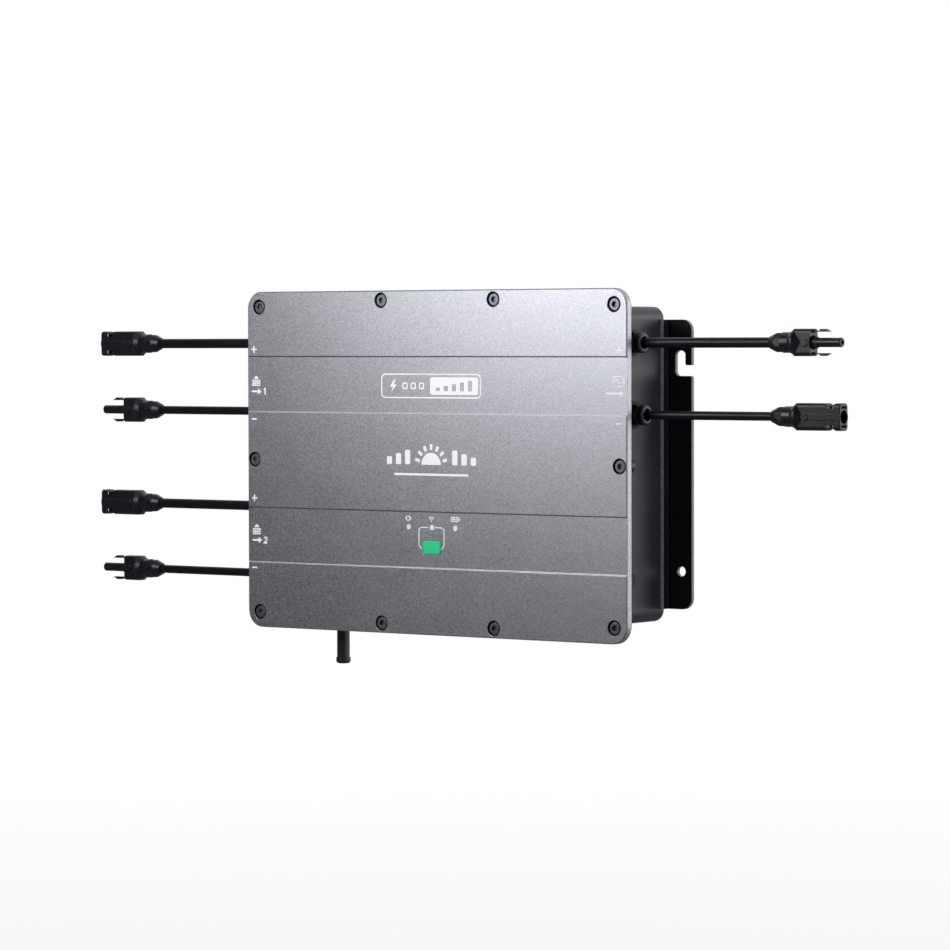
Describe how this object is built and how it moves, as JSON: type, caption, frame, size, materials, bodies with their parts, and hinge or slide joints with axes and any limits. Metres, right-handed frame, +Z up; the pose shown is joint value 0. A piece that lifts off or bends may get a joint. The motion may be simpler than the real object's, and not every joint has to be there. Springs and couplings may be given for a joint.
{
  "type": "photovoltaic power hub",
  "caption": "Wall-mounted photovoltaic power hub with a ribbed aluminium front, six flying leads with latching connectors, a push button and a stub antenna.",
  "frame": {"origin": "centre of the bracket's wall face", "axes": "+X to the right seen from the front, +Y into the wall, +Z up"},
  "size_m": [0.6573, 0.0641, 0.2718],
  "materials": {
    "cover_aluminium": "bead-blasted and clear anodised",
    "housing_black": "fine-textured powder coat",
    "bracket_black": "fine-textured powder coat",
    "screw_steel": "passivated, turned faces",
    "seal_rubber": "moulded",
    "gland_black": "moulded nylon",
    "board_green": "solder mask",
    "component_black": "moulded epoxy",
    "coil_copper": "enamelled copper winding",
    "can_aluminium": "plain",
    "thermal_grey": "silicone pad",
    "terminal_grey": "moulded",
    "antenna_black": "satin moulded",
    "socket_brass": "plated",
    "button_green": "satin moulded",
    "light_white": "clear diffusing",
    "cable_black": "extruded jacket",
    "connector_black": "moulded, lightly textured",
    "contact_metal": "tinned copper"
  },
  "bodies": {
    "enclosure": {"front_cover": "cover_aluminium", "cover_gasket": "seal_rubber", "cover_screws": "screw_steel", "rear_housing": "housing_black", "mounting_bracket": "bracket_black", "bracket_screws": "screw_steel", "main_board": "board_green", "board_screws": "screw_steel", "power_inductors": "coil_copper", "bulk_capacitors": "can_aluminium", "power_transistors": "component_black", "thermal_pad": "thermal_grey", "heat_spreader": "can_aluminium", "terminal_blocks": "terminal_grey", "radio_module": "can_aluminium", "antenna_coax": "cable_black", "antenna_socket": "socket_brass", "antenna_socket_nut": "socket_brass", "indicator_board": "board_green", "indicator_board_screws": "screw_steel", "tact_switch": "component_black", "light_pipes": "light_white", "indicator_leds": "light_white", "ribbon_cable": "component_black", "button_seal": "seal_rubber", "gland_washers": "seal_rubber", "gland_bodies": "gland_black", "gland_lock_nuts": "gland_black", "gland_dome_nuts": "gland_black", "gland_seals": "seal_rubber", "inner_wires": "cable_black", "vent_plug": "gland_black"},
    "button": {"button_cap": "button_green", "switch_plunger": "component_black"},
    "antenna": {"antenna_mast": "antenna_black", "antenna_cap": "antenna_black"},
    "pv1_pos_lead": {"pv1_pos_cable": "cable_black", "pv1_pos_cap_nut": "connector_black", "pv1_pos_connector": "connector_black", "pv1_pos_contact": "contact_metal"},
    "pv1_neg_lead": {"pv1_neg_cable": "cable_black", "pv1_neg_cap_nut": "connector_black", "pv1_neg_connector": "connector_black", "pv1_neg_contact": "contact_metal"},
    "pv2_pos_lead": {"pv2_pos_cable": "cable_black", "pv2_pos_cap_nut": "connector_black", "pv2_pos_connector": "connector_black", "pv2_pos_contact": "contact_metal"},
    "pv2_neg_lead": {"pv2_neg_cable": "cable_black", "pv2_neg_cap_nut": "connector_black", "pv2_neg_connector": "connector_black", "pv2_neg_contact": "contact_metal"},
    "out_pos_lead": {"out_pos_cable": "cable_black", "out_pos_cap_nut": "connector_black", "out_pos_connector": "connector_black", "out_pos_contact": "contact_metal"},
    "out_neg_lead": {"out_neg_cable": "cable_black", "out_neg_cap_nut": "connector_black", "out_neg_connector": "connector_black", "out_neg_contact": "contact_metal"}
  },
  "joints": [
    {"name": "button_press", "type": "slide", "parent": "enclosure", "child": "button", "axis": [0, 1, 0], "range_m": [0, 0.001], "stiffness_N_per_m": 900, "springref_m": -0.0008},
    {"name": "antenna_turn", "type": "hinge", "parent": "enclosure", "child": "antenna", "pos_m": [-0.0996, -0.039, -0.118], "axis": [0, 0, 1], "continuous": true},
    {"name": "pv1_pos_flex", "type": "hinge", "parent": "enclosure", "child": "pv1_pos_lead", "pos_m": [-0.1716, -0.045, 0.0852], "axis": [0, 0, 1], "range_deg": [-10, 35], "stiffness_Nm_per_rad": 0.03},
    {"name": "pv1_neg_flex", "type": "hinge", "parent": "enclosure", "child": "pv1_neg_lead", "pos_m": [-0.1716, -0.0417, 0.0352], "axis": [0, 0, 1], "range_deg": [-10, 35], "stiffness_Nm_per_rad": 0.03},
    {"name": "pv2_pos_flex", "type": "hinge", "parent": "enclosure", "child": "pv2_pos_lead", "pos_m": [-0.1716, -0.045, -0.0349], "axis": [0, 0, 1], "range_deg": [-10, 35], "stiffness_Nm_per_rad": 0.03},
    {"name": "pv2_neg_flex", "type": "hinge", "parent": "enclosure", "child": "pv2_neg_lead", "pos_m": [-0.1716, -0.0417, -0.0848], "axis": [0, 0, 1], "range_deg": [-10, 35], "stiffness_Nm_per_rad": 0.03},
    {"name": "out_pos_flex", "type": "hinge", "parent": "enclosure", "child": "out_pos_lead", "pos_m": [0.1716, -0.045, 0.0852], "axis": [0, 0, -1], "range_deg": [-10, 35], "stiffness_Nm_per_rad": 0.03},
    {"name": "out_neg_flex", "type": "hinge", "parent": "enclosure", "child": "out_neg_lead", "pos_m": [0.1716, -0.0417, 0.0352], "axis": [0, 0, -1], "range_deg": [-10, 35], "stiffness_Nm_per_rad": 0.03}
  ]
}
